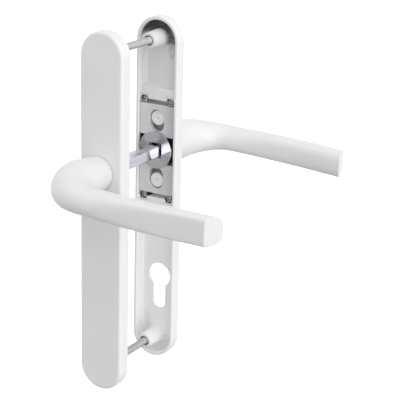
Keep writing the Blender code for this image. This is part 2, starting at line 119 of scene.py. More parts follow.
WORK_NEAR = SLIDE_LOW.y - RIM_Y  # depth of the slides' near face below the rim
WORK_FAR = SLIDE_HIGH.y - RIM_Y
POST_Z = 21.6 * MM
POST_RADIUS = 5.0 * MM
POST_DEPTH = 2.7 * MM
POST_FILLET = 0.8 * MM
POST_EDGE = 0.35 * MM
POST_END_RINGS = (  # (share of the radius, mm below the post's end), from a turning tool
    (0.80, 0.0), (0.76, 0.10), (0.70, 0.10), (0.66, 0.0), (0.52, 0.0), (0.48, 0.08), (0.42, 0.08),
    (0.38, 0.0), (0.30, 0.0), (0.24, 0.07), (0.16, 0.28), (0.08, 0.42), (0.02, 0.46),
)
COLLAR_RADIUS = 11.5 * MM
COLLAR_DEPTH = 6.25 * MM
BEARING_RADIUS = 8.9 * MM
CROSS_NEAR_Z = 33.9 * MM
CROSS_FAR_Z = 41.8 * MM
CROSS_DEPTH = 1.4 * MM
CROSS_FAR_DEPTH = 2.3 * MM
CROSS_FAR_EDGE = 1.6 * MM
POCKET_X = 10.0 * MM
POCKET_WIDTH = 5.2 * MM
POCKET_FAR_Z = 36.0 * MM
POCKET_FLOOR = 7.0 * MM
EJECTOR_MARKS = ((-8.8, 61.5), (8.8, 61.5), (-8.8, -126.0), (8.8, -51.5), (-8.8, -51.5))  # mm
EJECTOR_RADIUS = 2.6 * MM
EJECTOR_DEPTH = 0.22 * MM

FULL_TURN = radians(35)
SLIDE_LIFT = 2.0 * MM
SLOT_RADIUS = 5.75 * MM
SLOT_LOW_Z = 12.2 * MM
SLOT_HIGH_Z = 27.3 * MM

DISC_HOLE_HALF = 5.15 * MM
SPRING_WIRE = 0.28 * MM  # radius
SPRING_TURNS = 4.25

STUB_RADIUS = 7.0 * MM
STUB_FLAT = 6.2 * MM
SOCKET_WIDTH = 8.4 * MM
SOCKET_MOUTH_RADIUS = 5.7 * MM
SOCKET_MOUTH_DEPTH = 4.0 * MM
NECK_GAP = 0.35 * MM
LEVER_REACH = 108.3 * MM
LEVER_PROJECTION = 59.8 * MM
LEVER_SET_BACK = 5.6 * MM
LEVER_END_SLANT = {OUTER: radians(20), INNER: radians(15)}
LEVER_DROOP = {OUTER: radians(1.0), INNER: radians(2.4)}
NECK_RADIUS = 10.9 * MM
NECK_FLARED_RADIUS = 13.4 * MM
NECK_OFFSET = -1.4 * MM
BEND_RADIUS = 29.5 * MM
ARM_START = NECK_OFFSET + BEND_RADIUS
ARM_HEIGHT = 17.0 * MM
ARM_DEPTH_AT_BEND = 21.6 * MM
NECK_LENGTH = LEVER_PROJECTION - ARM_DEPTH_AT_BEND / 2 - BEND_RADIUS
ARM_DEPTH_AT_TIP = 13.4 * MM
FLAT_SQUARENESS = 8.0
DOOR_SIDE_SQUARENESS = 2.6
TIP_EDGE = 0.8 * MM
SPINDLE_CHAMFER = 0.75 * MM
SPINDLE_END_EDGE = 0.6 * MM

SMOOTH_ANGLE = radians(34)


# --- mesh helpers ---
def in_scene(name, data):
    obj = bpy.data.objects.new(name, data)
    bpy.context.scene.collection.objects.link(obj)
    return obj


def loft(name, rings, closed=False):
    """An object skinned over rings of equal length, with flat ends unless the rings close on themselves."""
    mesh = bpy.data.meshes.new(name)
    bm = bmesh.new()
    layers = [[bm.verts.new(point) for point in ring] for ring in rings]
    count = len(layers[0])
    for near, far in zip(layers, layers[1:] + layers[:1] if closed else layers[1:]):
        for i in range(count):
            j = (i + 1) % count
            bm.faces.new((near[i], near[j], far[j], far[i]))
    if not closed:
        bm.faces.new(layers[0])
        bm.faces.new(layers[-1])
    bmesh.ops.recalc_face_normals(bm, faces=bm.faces)
    bm.to_mesh(mesh)
    bm.free()
    return in_scene(name, mesh)


def depth_y(side, depth):
    """The place that lies this deep in a plate, measured from its rim."""
    return side * (RIM_Y + depth)


def stack(name, side, outline, levels):
    """A solid from (growth, depth) levels: outline(growth) gives the (x, z) points at each depth."""
    rings = [[(x, depth_y(side, depth), z) for x, z in outline(growth)] for growth, depth in levels]
    return loft(name, rings)


def turned(name, side, profile, z=0.0, x=0.0, steps=72):
    """A solid turned about an axis along Y, from (radius, depth) pairs."""
    return stack(name, side, lambda radius: shifted(circle(radius, steps), x, z), profile)


def combine(body, tool, operation):
    """Join or cut a body with a tool for good, and remove the tool."""
    modifier = body.modifiers.new(operation, "BOOLEAN")
    modifier.operation = operation
    modifier.object = tool
    bpy.context.view_layer.update()
    graph = bpy.context.evaluated_depsgraph_get()
    result = bpy.data.meshes.new_from_object(body.evaluated_get(graph))
    body.modifiers.clear()
    body.data = result
    bpy.data.objects.remove(tool, do_unlink=True)


def clean(obj):
    """Merge what the cuts left doubled and drop faces with no area."""
    bm = bmesh.new()
    bm.from_mesh(obj.data)
    bmesh.ops.remove_doubles(bm, verts=bm.verts, dist=0.002 * MM)
    bmesh.ops.dissolve_degenerate(bm, edges=bm.edges, dist=0.002 * MM)
    bm.to_mesh(obj.data)
    bm.free()


def finish_piece(obj, body, slot, node, *materials):
    """Shade, give materials, and tie a piece to its CAD body and node; the slot is not used."""
    clean(obj)
    for material in materials:
        obj.data.materials.append(material)
    obj.data.shade_smooth()
    obj.data.set_sharp_from_angle(angle=SMOOTH_ANGLE)
    weighted = obj.modifiers.new("even_normals", "WEIGHTED_NORMAL")
    weighted.keep_sharp = True
    weighted.weight = 90
    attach(obj, body)
    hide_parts(node)
    return obj


# --- outlines in the XZ plane ---
def arc(x, z, radius, start, end, steps):
    angles = [start + (end - start) * i / steps for i in range(steps + 1)]
    return [(x + radius * cos(a), z + radius * sin(a)) for a in angles]


def circle(radius, steps):
    return arc(0, 0, radius, 0, 2 * pi, steps)[:-1]


def shifted(points, x, z):
    return [(px + x, pz + z) for px, pz in points]


def rounded_box(x_low, z_low, x_high, z_high, radius, steps=5):
    corners = (
        (x_high - radius, z_high - radius, 0.0),
        (x_low + radius, z_high - radius, pi / 2),
        (x_low + radius, z_low + radius, pi),
        (x_high - radius, z_low + radius, 3 * pi / 2),
    )
    points = []
    for x, z, start in corners:
        points += arc(x, z, radius, start, start + pi / 2, steps)
    return points


def grown_box(x_low, z_low, x_high, z_high, radius):
    """A rounded box as a function of how far it has grown."""
    return lambda g: rounded_box(x_low - g, z_low - g, x_high + g, z_high + g, radius + g)


def stadium(width, z_low, z_high, steps):
    """An upright slot shape with half-round ends."""
    radius = width / 2
    top = arc(0, z_high - radius, radius, 0, pi, steps)
    bottom = arc(0, z_low + radius, radius, pi, 2 * pi, steps)
    return top + bottom


def plate_outline(inset):
    low, high = PLATE_LOW.z + inset, PLATE_HIGH.z - inset
    return stadium(PLATE_WIDTH - 2 * inset, low, high, 48)


def keyhole_outline(growth):
    """The euro profile: a round opening with a round-ended slot below it."""
    radius, half_slot = KEYHOLE_RADIUS + growth, KEYHOLE_SLOT / 2 + growth
    start = -atan2((radius**2 - half_slot**2) ** 0.5, half_slot)
    round_part = arc(0, -KEYHOLE_PITCH, radius, start, pi - start, 56)
    bottom_z = -KEYHOLE_PITCH + KEYHOLE_RADIUS - KEYHOLE_HEIGHT + KEYHOLE_SLOT / 2
    return round_part + arc(0, bottom_z, half_slot, pi, 2 * pi, 28)


def quarter(steps):
    """The sine and cosine at each step of a quarter turn."""
    return [(sin(pi / 2 * i / steps), cos(pi / 2 * i / steps)) for i in range(steps + 1)]


def eased(share):
    """A smooth start and stop between 0 and 1."""
    return share * share * (3 - 2 * share)


def edge_levels(depth, radius, inwards, steps=4):
    """Levels that round a solid's edge at a face of this depth; inwards is the way into the solid."""
    return [(-radius + radius * s, depth + inwards * radius * (1 - c)) for s, c in quarter(steps)]


def slab_levels(near, far, radius, steps=4):
    """A flat piece with both of its edges rounded."""
    return edge_levels(near, radius, 1, steps) + edge_levels(far, radius, -1, steps)[::-1]


def mouth_levels(depth, radius, inwards, margin, steps=4):
    """A cutter's levels at a face whose edge comes out rounded; inwards is the way into the solid."""
    rounding = [(-growth, level) for growth, level in edge_levels(depth, radius, inwards, steps)]
    return [(radius, depth - inwards * margin)] + rounding


def through_levels(near, far, radius):
    """A cutter right through a wall, rounding the edges on both of its faces."""
    return mouth_levels(near, radius, 1, MM) + mouth_levels(far, radius, -1, MM)[::-1]


# --- backplates ---
def shell_levels():
    """(inset, depth) from the face's edge, over the rim and down into the recess."""
    levels = [(FACE_EDGE * (1 - s), PLATE_DEPTH - FACE_EDGE * (1 - c)) for s, c in quarter(10)]
    levels += [(RIM_EDGE * (1 - c), RIM_EDGE * (1 - s)) for s, c in quarter(6)]
    levels += [(PLATE_WALL - RIM_INNER_EDGE * (1 - s), RIM_INNER_EDGE * (1 - c)) for s, c in quarter(6)]
    foot, floor_edge = PLATE_WALL + WALL_DRAFT, FLOOR_DEPTH - FLOOR_FILLET
    levels += [(foot + FLOOR_FILLET * (1 - c), floor_edge + FLOOR_FILLET * s) for s, c in quarter(8)]
    return levels


def plate_shell(name, side):
    return stack(name, side, plate_outline, shell_levels())


def cross_wall(side, end):
    """A wall across the recess, with rounded top edges and a fillet at its far root."""
    edge, fillet, low = 0.5 * MM, 1.4 * MM, FLOOR_DEPTH + OVERLAP
    far_edge = CROSS_FAR_EDGE
    section = [(CROSS_NEAR_Z, ROOT_DEPTH)]
    section += arc(CROSS_NEAR_Z + edge, CROSS_DEPTH + edge, edge, pi, 3 * pi / 2, 5)
    section += arc(CROSS_FAR_Z - far_edge, CROSS_FAR_DEPTH + far_edge, far_edge, -0.44 * pi, 0, 8)
    section += arc(CROSS_FAR_Z + fillet, low - fillet, fillet, pi, pi / 2, 6)
    section += [(CROSS_FAR_Z + fillet, ROOT_DEPTH)]
    half = PLATE_WIDTH / 2 - PLATE_WALL / 2
    rings = [[(x, depth_y(side, depth), end * z) for z, depth in section] for x in (-half, half)]
    return loft("wall", rings)


def spring_pocket(side, end, hand):
    low_z, high_z = sorted((end * (CROSS_NEAR_Z - 2 * MM), end * POCKET_FAR_Z))
    x = hand * POCKET_X
    outline = grown_box(x - POCKET_WIDTH / 2, low_z, x + POCKET_WIDTH / 2, high_z, 1.3 * MM)
    floor = edge_levels(POCKET_FLOOR, 0.35 * MM, -1)[::-1]
    return stack("pocket", side, outline, mouth_levels(CROSS_DEPTH, 0.4 * MM, 1, MM) + floor)


def post(side, end):
    """A round post, cast with the plate, with turning rings and a dimple in its end."""
    foot = POST_RADIUS + POST_FILLET
    profile = [(foot, ROOT_DEPTH), (foot, FLOOR_DEPTH + OVERLAP)]
    profile += arc(foot, FLOOR_DEPTH - POST_FILLET, POST_FILLET, pi / 2, pi, 5)
    profile += arc(POST_RADIUS - POST_EDGE, POST_DEPTH + POST_EDGE, POST_EDGE, 0, -pi / 2, 5)
    profile += [(POST_RADIUS * share, POST_DEPTH + sunk * MM) for share, sunk in POST_END_RINGS]
    return turned("post", side, profile, end * POST_Z)


def floor_fillet(radius, fillet, steps):
    """The profile of a turned solid's foot, with a fillet from the floor up to this radius."""
    foot, low = radius + fillet, FLOOR_DEPTH + OVERLAP
    return [(foot, ROOT_DEPTH), (foot, low)] + arc(foot, low - fillet, fillet, pi / 2, pi, steps)


def boss(side, end, z):
    """A tapered screw boss, with a wide fillet at its foot."""
    flare = BOSS_FLARE[end]
    tip = BOSS_TIP_Y - RIM_Y
    slope = (BOSS_ROOT_RADIUS - BOSS_TIP_RADIUS) / (FLOOR_DEPTH - tip)
    profile = floor_fillet(BOSS_ROOT_RADIUS - slope * flare, flare, 12)
    profile += arc(BOSS_TIP_RADIUS - BOSS_EDGE, tip + BOSS_EDGE, BOSS_EDGE, 0, -pi / 2, 6)
    return turned("boss", side, profile, z)


def boss_bore(side, z):
    """The bore in a screw boss: blind in the outer plate, right through to a sunk head in the inner."""
    tip, edge = BOSS_TIP_Y - RIM_Y, 0.3 * MM
    mouth = mouth_levels(tip, edge, 1, MM)
    if side == OUTER:
        radius = SCREW_RADIUS + 0.3 * MM
        bore = [(radius + growth, depth) for growth, depth in mouth]
        return turned("bore", side, bore + [(radius, tip + THREAD_BORE_DEPTH)], z, steps=48)
    bore = [(BOSS_BORE_RADIUS + growth, depth) for growth, depth in mouth]
    bore += [(BOSS_BORE_RADIUS, PLATE_DEPTH - SCREW_HEAD_HEIGHT - 0.45 * MM)]
    for growth, above in ((-0.3, -0.3), (-0.12, -0.1), (0.25, 0.0), (0.25, 1.0)):
        bore.append((SINK_RADIUS + growth * MM, PLATE_DEPTH + above * MM))
    return turned("bore", side, bore, z, steps=64)


def collar(side):
    """The raised ring round the bearing, which carries the disc."""
    profile = floor_fillet(COLLAR_RADIUS, 0.8 * MM, 5)
    profile += [(g + COLLAR_RADIUS, d) for g, d in edge_levels(COLLAR_DEPTH, 0.25 * MM, 1)[::-1]]
    return turned("collar", side, profile, steps=96)


def backplate(side, side_name):
    shell = plate_shell(side_name + "_backplate", side)
    for end, z in ((1, SCREW_TOP_Z), (-1, SCREW_BOTTOM_Z)):
        combine(shell, cross_wall(side, end), "UNION")
        for hand, _ in HANDS:
            combine(shell, spring_pocket(side, end, hand), "DIFFERENCE")
        combine(shell, post(side, end), "UNION")
        combine(shell, boss(side, end, z), "UNION")
        combine(shell, boss_bore(side, z), "DIFFERENCE")
    combine(shell, collar(side), "UNION")
    bearing = [(g + BEARING_RADIUS, d) for g, d in through_levels(COLLAR_DEPTH, PLATE_DEPTH, 0.2 * MM)]
    combine(shell, turned("bearing", side, bearing, steps=96), "DIFFERENCE")
    if side == INNER:
        levels = through_levels(FLOOR_DEPTH, PLATE_DEPTH, KEYHOLE_EDGE)
        combine(shell, stack("keyhole", side, keyhole_outline, levels), "DIFFERENCE")
    for x, z in EJECTOR_MARKS:
        levels = mouth_levels(FLOOR_DEPTH, 0.12 * MM, 1, MM, 2) + [(0.0, FLOOR_DEPTH + EJECTOR_DEPTH)]
        mark = [(g + EJECTOR_RADIUS, d) for g, d in levels]
        combine(shell, turned("mark", side, mark, z * MM, x * MM, 36), "DIFFERENCE")
    material = plate_material(side, side_name)
    return finish_piece(shell, "plates", "white_coating", side_name + "_plate", material)


# --- spring work ---
def bush(side, side_name):
    near, far = BUSH_LOW.y - RIM_Y, BUSH_HIGH.y - RIM_Y
    outer_radius, bore = (BUSH_HIGH.x - BUSH_LOW.x) / 2, STUB_RADIUS + 0.05 * MM
    levels = slab_levels(near, far, 0.25 * MM)
    profile = [(outer_radius + g, d) for g, d in levels] + [(bore - g, d) for g, d in levels[::-1]]
    rings = [[(x, depth_y(side, d), z) for x, z in circle(r, 96)] for r, d in profile]
    obj = loft(side_name + "_bearing_bush", rings, closed=True)
    return finish_piece(obj, "plates", "white_nylon", side_name + "_bush", nylon_material(side_name))


def stub_outline(growth):
    """The lever stub's section: a circle with two flats."""
    radius, flat = STUB_RADIUS + growth, STUB_FLAT + growth
    start = atan2((radius**2 - flat**2) ** 0.5, flat)
    top = arc(0, 0, radius, start, pi - start, 40)
    return top + [(x, -z) for x, z in reversed(top)]


def cam_outline(growth):
    """A cam whose reach towards a flat follower grows evenly with the angle turned."""
    reach, steps = SLIDE_LOW.z - 0.3 * MM + growth, 24
    rate = SLIDE_LIFT / FULL_TURN
    flank = []
    for i in range(steps + 1):
        turn = FULL_TURN * i / steps
        grown = reach + rate * turn
        flank.append((grown * sin(turn) + rate * cos(turn), grown * cos(turn) - rate * sin(turn)))
    right = flank + [(x, -z) for x, z in reversed(flank)]
    return right + [(-x, z) for x, z in reversed(right)]


def cam(side, side_name):
    near, far = CAM_LOW.y - RIM_Y, CAM_HIGH.y - RIM_Y
    plate = stack(side_name + "_lifting_cam", side, cam_outline, slab_levels(near, far, 0.3 * MM))
    bore = stack("bore", side, lambda g: stub_outline(0.3 * MM + g), through_levels(near, far, 0.15 * MM))
    combine(plate, bore, "DIFFERENCE")
    node = side_name + "_cam"
    return finish_piece(plate, side_name + "_lever_set", "bright_steel", node, cam_material(node))


def disc(side, side_name):
    near, far = DISC_LOW.y - RIM_Y, DISC_HIGH.y - RIM_Y
    radius = (DISC_HIGH.x - DISC_LOW.x) / 2
    levels = [(g + radius, d) for g, d in slab_levels(near, far, 0.22 * MM)]
    plate = turned(side_name + "_retaining_plate", side, levels, steps=160)
    half = DISC_HOLE_HALF
    square = grown_box(-half, -half, half, half, 0.35 * MM)
    combine(plate, stack("hole", side, square, through_levels(near, far, 0.1 * MM)), "DIFFERENCE")
    materials = disc_material(side_name), punched_material(side_name)
    node = side_name + "_retaining_disc"
    piece = finish_piece(plate, side_name + "_lever_set", "polished_steel", node, *materials)
    for face in piece.data.polygons:
        corners = [piece.data.vertices[i].co for i in face.vertices]
        reach = max(max(abs(corner.x), abs(corner.z)) for corner in corners)
        punched = reach < half + 0.15 * MM and abs(face.normal.y) < 0.8
        face.material_index = 1 if punched else 0
    return piece


def slide(side, side_name, end, end_name):
    near, far = WORK_NEAR, WORK_FAR
    half = (SLIDE_HIGH.x - SLIDE_LOW.x) / 2
    low, high = sorted((end * SLIDE_LOW.z, end * SLIDE_HIGH.z))
    outline = grown_box(-half, low, half, high, 1.2 * MM)
    name = f"{side_name}_{end_name}"
    plate = stack(name + "_sliding_plate", side, outline, slab_levels(near, far, 0.25 * MM))
    slot_low, slot_high = sorted((end * SLOT_LOW_Z, end * SLOT_HIGH_Z))
    slot = stack(
        "slot",
        side,
        lambda g: stadium(2 * (SLOT_RADIUS + g), slot_low - g, slot_high + g, 32),
        through_levels(near, far, 0.22 * MM),
    )
    combine(plate, slot, "DIFFERENCE")
    return finish_piece(plate, name + "_slide_body", "zinc_plate", name + "_slide", zinc_material(name))


def spring(side, side_name, end_name, hand, hand_name):
    """A coil spring, wound closer at both ends."""
    node = f"{side_name}_{end_name}_spring_{hand_name}"
    low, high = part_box(node)
    centre = (low + high) / 2
    helix = (high.x - low.x) / 2 - SPRING_WIRE
    climb = high.z - low.z - 2 * SPRING_WIRE
    steps = int(SPRING_TURNS * 28)
    upwards = Vector((0, 0, 1))
    rings = []
    for i in range(steps + 1):
        share = i / steps
        angle = 2 * pi * SPRING_TURNS * share
        out = Vector((cos(angle), sin(angle), 0.0))
        z = low.z + SPRING_WIRE + climb * (0.35 * eased(share) + 0.65 * share)
        middle = Vector((centre.x, centre.y, z)) + out * helix
        rings.append([middle + (out * a + upwards * b) for a, b in circle(SPRING_WIRE, 10)])
    obj = loft(node + "_coil", rings)
    finish_piece(obj, "plates", "spring_wire", node, wire_material(node))
    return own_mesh(obj)


# --- levers ---
def power(value, exponent):
    return abs(value) ** exponent


def section(height, depth, squareness, door_squareness=2.0, steps=96):
    """A closed section whose outer and door-side halves are superellipses of their own squareness."""
    points = []
    for i in range(steps):
        angle = 2 * pi * i / steps
        c, s = cos(angle), sin(angle)
        exponent = 2 / (squareness if c > 0 else door_squareness)
        outwards = (1 if c > 0 else -1) * power(c, exponent) * depth / 2
        upwards = (1 if s > 0 else -1) * power(s, exponent) * height / 2
        points.append((outwards, upwards))
    return points


def neck_sections(steps=10):
    """(centre x, centre depth, direction, section) up the neck."""
    for growth, depth in edge_levels(NECK_GAP, 0.4 * MM, 1):
        size = 2 * (NECK_RADIUS + growth)
        yield NECK_OFFSET, depth, pi / 2, section(size, size, 2)
    for i in range(1, steps):
        share = i / steps
        size = 2 * (NECK_RADIUS + (NECK_FLARED_RADIUS - NECK_RADIUS) * share)
        yield NECK_OFFSET, NECK_GAP + (NECK_LENGTH - NECK_GAP) * share, pi / 2, section(size, size, 2)


def bend_sections(steps=30):
    """The same round the bend, from the flared neck's round to the arm's oval."""
    for i in range(steps):
        share = i / steps
        angle, blend = pi / 2 * share, eased(share)
        height = 2 * NECK_FLARED_RADIUS * (1 - blend) + ARM_HEIGHT * blend
        depth = 2 * NECK_FLARED_RADIUS * (1 - blend) + ARM_DEPTH_AT_BEND * blend
        x = NECK_OFFSET + BEND_RADIUS * (1 - cos(angle))
        yield x, NECK_LENGTH + BEND_RADIUS * sin(angle), pi / 2 - angle, section(height, depth, 2)


def arm_section(x, inset=0.0):
    share = (x - ARM_START) / (LEVER_REACH - ARM_START)
    depth = ARM_DEPTH_AT_TIP + (ARM_DEPTH_AT_BEND - ARM_DEPTH_AT_TIP) * (1 - share) ** 3
    squareness = 2 + (FLAT_SQUARENESS - 2) * min(1.0, share / 0.8) ** 1.5
    door_squareness = 2 + (DOOR_SIDE_SQUARENESS - 2) * min(1.0, share / 0.35)
    outwards = LEVER_PROJECTION - LEVER_SET_BACK * share - depth / 2
    return outwards, section(ARM_HEIGHT - 2 * inset, depth - 2 * inset, squareness, door_squareness)


def arm_sections(steps=44):
    """The same along the arm, whose outer side grows flat towards the tip."""
    end = LEVER_REACH - TIP_EDGE
    for i in range(steps + 1):
        x = ARM_START + (end - ARM_START) * i / steps
        outwards, points = arm_section(x)
        yield x, outwards, 0.0, points


def section_ring(side, x, depth, direction, points, slant=0.0):
    """A section's points in space; slant pushes the door side of a cut end along the arm."""
    ring = []
    for out, up in points:
        along = x - out * sin(direction) + (ARM_DEPTH_AT_TIP / 2 - out) * tan(slant)
        ring.append(Vector((along, depth_y(side, PLATE_DEPTH + depth + out * cos(direction)), up)))
    return ring


def tip_rings(side):
    """The rounded edge round the slanted end."""
    rings = []
    for s, c in quarter(5)[1:]:
        x = LEVER_REACH - TIP_EDGE * (1 - s)
        outwards, points = arm_section(x, TIP_EDGE * (1 - c))
        rings.append(section_ring(side, x, outwards, 0.0, points, LEVER_END_SLANT[side]))
    return rings


def lever_rings(side):
    """The rings of neck, bend, arm and tip, turned by the droop about the spindle."""
    sections = [*neck_sections(), *bend_sections(), *arm_sections()]
    first_slanted = len(sections) - 6
    rings = []
    for i, placed in enumerate(sections):
        share = max(0, i - first_slanted) / (len(sections) - 1 - first_slanted)
        rings.append(section_ring(side, *placed, slant=LEVER_END_SLANT[side] * share))
    rings += tip_rings(side)
    droop = Matrix.Rotation(LEVER_DROOP[side], 3, "Y")
    return [[droop @ point for point in ring] for ring in rings]


def lever(side, side_name):
    """The handle with its stub, which has two flats for the cam and a square socket for the spindle."""
    body = loft(side_name + "_lever_handle", lever_rings(side))
    stub_end = DISC_HIGH.y - RIM_Y + 0.3 * MM
    round_levels = [(STUB_RADIUS, COLLAR_DEPTH), (STUB_RADIUS, PLATE_DEPTH + NECK_RADIUS)]
    combine(body, turned("stub", side, round_levels, steps=96), "UNION")
    drive_levels = [(-0.2 * MM, stub_end), (0.0, stub_end + 0.2 * MM), (0.0, COLLAR_DEPTH + MM)]
    combine(body, stack("drive", side, stub_outline, drive_levels), "UNION")
    half = SOCKET_WIDTH / 2
    square = grown_box(-half, -half, half, half, 0.2 * MM)
    socket_levels = [(0.0, stub_end - MM), (0.0, SPINDLE_HIGH.y - RIM_Y + MM)]
    combine(body, stack("socket", side, square, socket_levels), "DIFFERENCE")
    mouth_depths = (stub_end - MM, stub_end + SOCKET_MOUTH_DEPTH)
    mouth = turned("mouth", side, [(SOCKET_MOUTH_RADIUS, depth) for depth in mouth_depths])
    combine(body, mouth, "DIFFERENCE")
    node = side_name + "_lever"
    materials = lever_material(node), steel_material(side_name + "_stub")
    piece = finish_piece(body, side_name + "_lever_set", "white_coating", node, *materials)
    mark_bare_metal(piece, side)
    return piece


def mark_bare_metal(piece, side):
    """The stub and its socket aren't coated: they take the piece's second material."""
    for face in piece.data.polygons:
        depth = face.center.y * side - RIM_Y
        from_axis = hypot(face.center.x, face.center.z)
        on_stub = depth < PLATE_DEPTH + NECK_GAP / 2 and from_axis < STUB_RADIUS + 0.2 * MM
        in_socket = depth < 30 * MM and from_axis < 6.5 * MM
        face.material_index = 1 if on_stub or in_socket else 0


def spindle():
    """A square bar with cut corners."""
    half = (SPINDLE_HIGH.x - SPINDLE_LOW.x) / 2
    end, edge = SPINDLE_HIGH.y, SPINDLE_END_EDGE

    def outline(growth):
        side, corner = half + growth, half + growth - SPINDLE_CHAMFER
        points = [(side, -corner), (side, corner), (corner, side), (-corner, side)]
        return points + [(-x, -z) for x, z in points]

    places = ((-edge, -end), (0.0, edge - end), (0.0, end - edge), (-edge, end))
    levels = [(growth, y - RIM_Y) for growth, y in places]
    obj = stack("drive_spindle", INNER, outline, levels)
    return finish_piece(obj, "inner_lever_set", "bright_steel", "spindle", spindle_material())


# --- fasteners ---
def screw_rings(z, start, end, head_y, neck_y):
    """Rings from the screw's point, along its thread and shank, to its countersunk head."""
    steps, per_pitch = 36, 8
    rings = [[(x, start, z + up) for x, up in circle(SCREW_RADIUS * 0.55, steps)]]
    count = int((end - start) / THREAD_PITCH * per_pitch)
    for i in range(count + 1):
        y = start + 0.4 * MM + (end - start) * i / count
        fade = min(1.0, i / per_pitch, (count - i) / per_pitch)
        ring = []
        for k in range(steps):
            angle = 2 * pi * k / steps
            phase = (y / THREAD_PITCH + k / steps) % 1.0
            sunk = max(0.0, abs(phase - 0.5) * 2 - 0.12) / 0.88
            radius = SCREW_RADIUS - THREAD_DEPTH * sunk * (0.35 + 0.65 * fade)
            ring.append((radius * cos(angle), y, z + radius * sin(angle)))
        rings.append(ring)
    plain = SCREW_RADIUS - 0.15 * MM
    head = ((plain, end + 1.2 * MM), (plain, neck_y), (SCREW_HEAD_RADIUS, head_y - 0.2 * MM))
    head += ((SCREW_HEAD_RADIUS, head_y - 0.08 * MM), (SCREW_HEAD_RADIUS - 0.15 * MM, head_y))
    rings += [[(x, y, z + up) for x, up in circle(radius, steps)] for radius, y in head]
    return rings


def cross_recess(z, top):
    """The cross-shaped driver recess, narrowing as it goes in."""
    length, width, depth = DRIVER_RECESS
    tools = []
    for turn in (0.0, pi / 2):
        rings = []
        for size, y in ((1.0, top + MM), (1.0, top), (0.45, top - depth)):
            box = rounded_box(-length * size, -width * size, length * size, width * size, 0.2 * MM * size)
            turned_box = [(x * cos(turn) - w * sin(turn), x * sin(turn) + w * cos(turn)) for x, w in box]
            rings.append([(x, y, z + up) for x, up in turned_box])
        tools.append(loft("recess", rings))
    return tools


def fixing_screw(node):
    low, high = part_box(node)
    z = (low.z + high.z) / 2
    rings = screw_rings(z, low.y, low.y + THREAD_LENGTH, high.y, high.y - SCREW_HEAD_HEIGHT)
    screw = loft(node + "_threaded", rings)
    for tool in cross_recess(z, high.y):
        combine(screw, tool, "DIFFERENCE")
    return finish_piece(screw, "plates", "bright_steel", node, screw_material(node))


# --- materials ---
class Surface:
    """A Principled material with helpers for the nodes that vary it."""

    def __init__(self, name, color, roughness, metallic=0.0, **sockets):
        self.material = bpy.data.materials.new(name)
        self.material.use_nodes = True
        self.nodes = self.material.node_tree.nodes
        self.links = self.material.node_tree.links
        self.shader = self.nodes["Principled BSDF"]
        self.shader.inputs["Base Color"].default_value = (*color, 1.0)
        self.shader.inputs["Roughness"].default_value = roughness
        self.shader.inputs["Metallic"].default_value = metallic
        for socket, value in sockets.items():
            self.shader.inputs[socket.replace("_", " ")].default_value = value
        self.place = self.nodes.new("ShaderNodeTexCoord").outputs["Object"]

    def node(self, kind, **settings):
        made = self.nodes.new("ShaderNode" + kind)
        for key, value in settings.items():
            setattr(made, key, value)
        return made

    def connect(self, source, target):
        self.links.new(source, target)

    def stretched(self, scale):
        mapping = self.node("Mapping")
        mapping.inputs["Scale"].default_value = scale
        self.connect(self.place, mapping.inputs["Vector"])
        return mapping.outputs["Vector"]

    def noise(self, scale, detail=2.0, stretch=None, roughness=0.5):
        made = self.node("TexNoise")
        made.inputs["Scale"].default_value = scale
        made.inputs["Detail"].default_value = detail
        made.inputs["Roughness"].default_value = roughness
        self.connect(self.stretched(stretch) if stretch else self.place, made.inputs["Vector"])
        return made.outputs["Fac"]

    def between(self, value, low, high, out_low=0.0, out_high=1.0, smooth=False):
        made = self.node("MapRange")
        if smooth:
            made.interpolation_type = "SMOOTHSTEP"
        limits = {"From Min": low, "From Max": high, "To Min": out_low, "To Max": out_high}
        for socket, number in limits.items():
            made.inputs[socket].default_value = number
        self.connect(value, made.inputs["Value"])
        return made.outputs["Result"]

    def math(self, operation, first, second=0.0):
        made = self.node("Math", operation=operation)
        for socket, value in zip(made.inputs, (first, second)):
            if isinstance(value, (int, float)):
                socket.default_value = value
            else:
                self.connect(value, socket)
        return made.outputs["Value"]

    def length(self, first, second):
        squares = self.math("ADD", self.product(first, first), self.product(second, second))
        return self.math("SQRT", squares)

    def product(self, first, *others):
        for value in others:
            first = self.math("MULTIPLY", first, value)
        return first

    def largest(self, first, *others):
        for value in others:
            first = self.math("MAXIMUM", first, value)
        return first

    def band(self, value, low, high, edge=0.3 * MM):
        """1 between two limits, falling to 0 just outside them."""
        above = self.between(value, low - edge, low)
        return self.product(above, self.between(value, high, high + edge, 1.0, 0.0))

    def mix(self, share, first, second):
        made = self.node("Mix", data_type="RGBA")
        self.connect(share, made.inputs[0])
        for socket, value in ((made.inputs[6], first), (made.inputs[7], second)):
            if isinstance(value, tuple):
                socket.default_value = (*value, 1.0)
            else:
                self.connect(value, socket)
        return made.outputs[2]

    def two_tone(self, source, first, second, low=0.35, high=0.65):
        """From the first colour to the second as noise, or another value, goes from low to high."""
        return self.mix(self.between(source, low, high), first, second)

    def color(self, source):
        self.connect(source, self.shader.inputs["Base Color"])

    def roughness(self, noise, lowest, highest):
        self.connect(self.between(noise, 0.3, 0.7, lowest, highest), self.shader.inputs["Roughness"])

    def bump(self, height, distance, below=None):
        made = self.node("Bump")
        made.inputs["Strength"].default_value = 1.0
        made.inputs["Distance"].default_value = distance
        self.connect(height, made.inputs["Height"])
        if below:
            self.connect(below, made.inputs["Normal"])
        return made.outputs["Normal"]

    def normal(self, source):
        self.connect(source, self.shader.inputs["Normal"])

    def grain(self, scale, distance, below=None):
        self.normal(self.bump(self.noise(scale), distance, below))

    def axis(self, name):
        parts = self.node("SeparateXYZ")
        self.connect(self.place, parts.inputs["Vector"])
        return parts.outputs[name]


def grey(level):
    return (level, level, level)


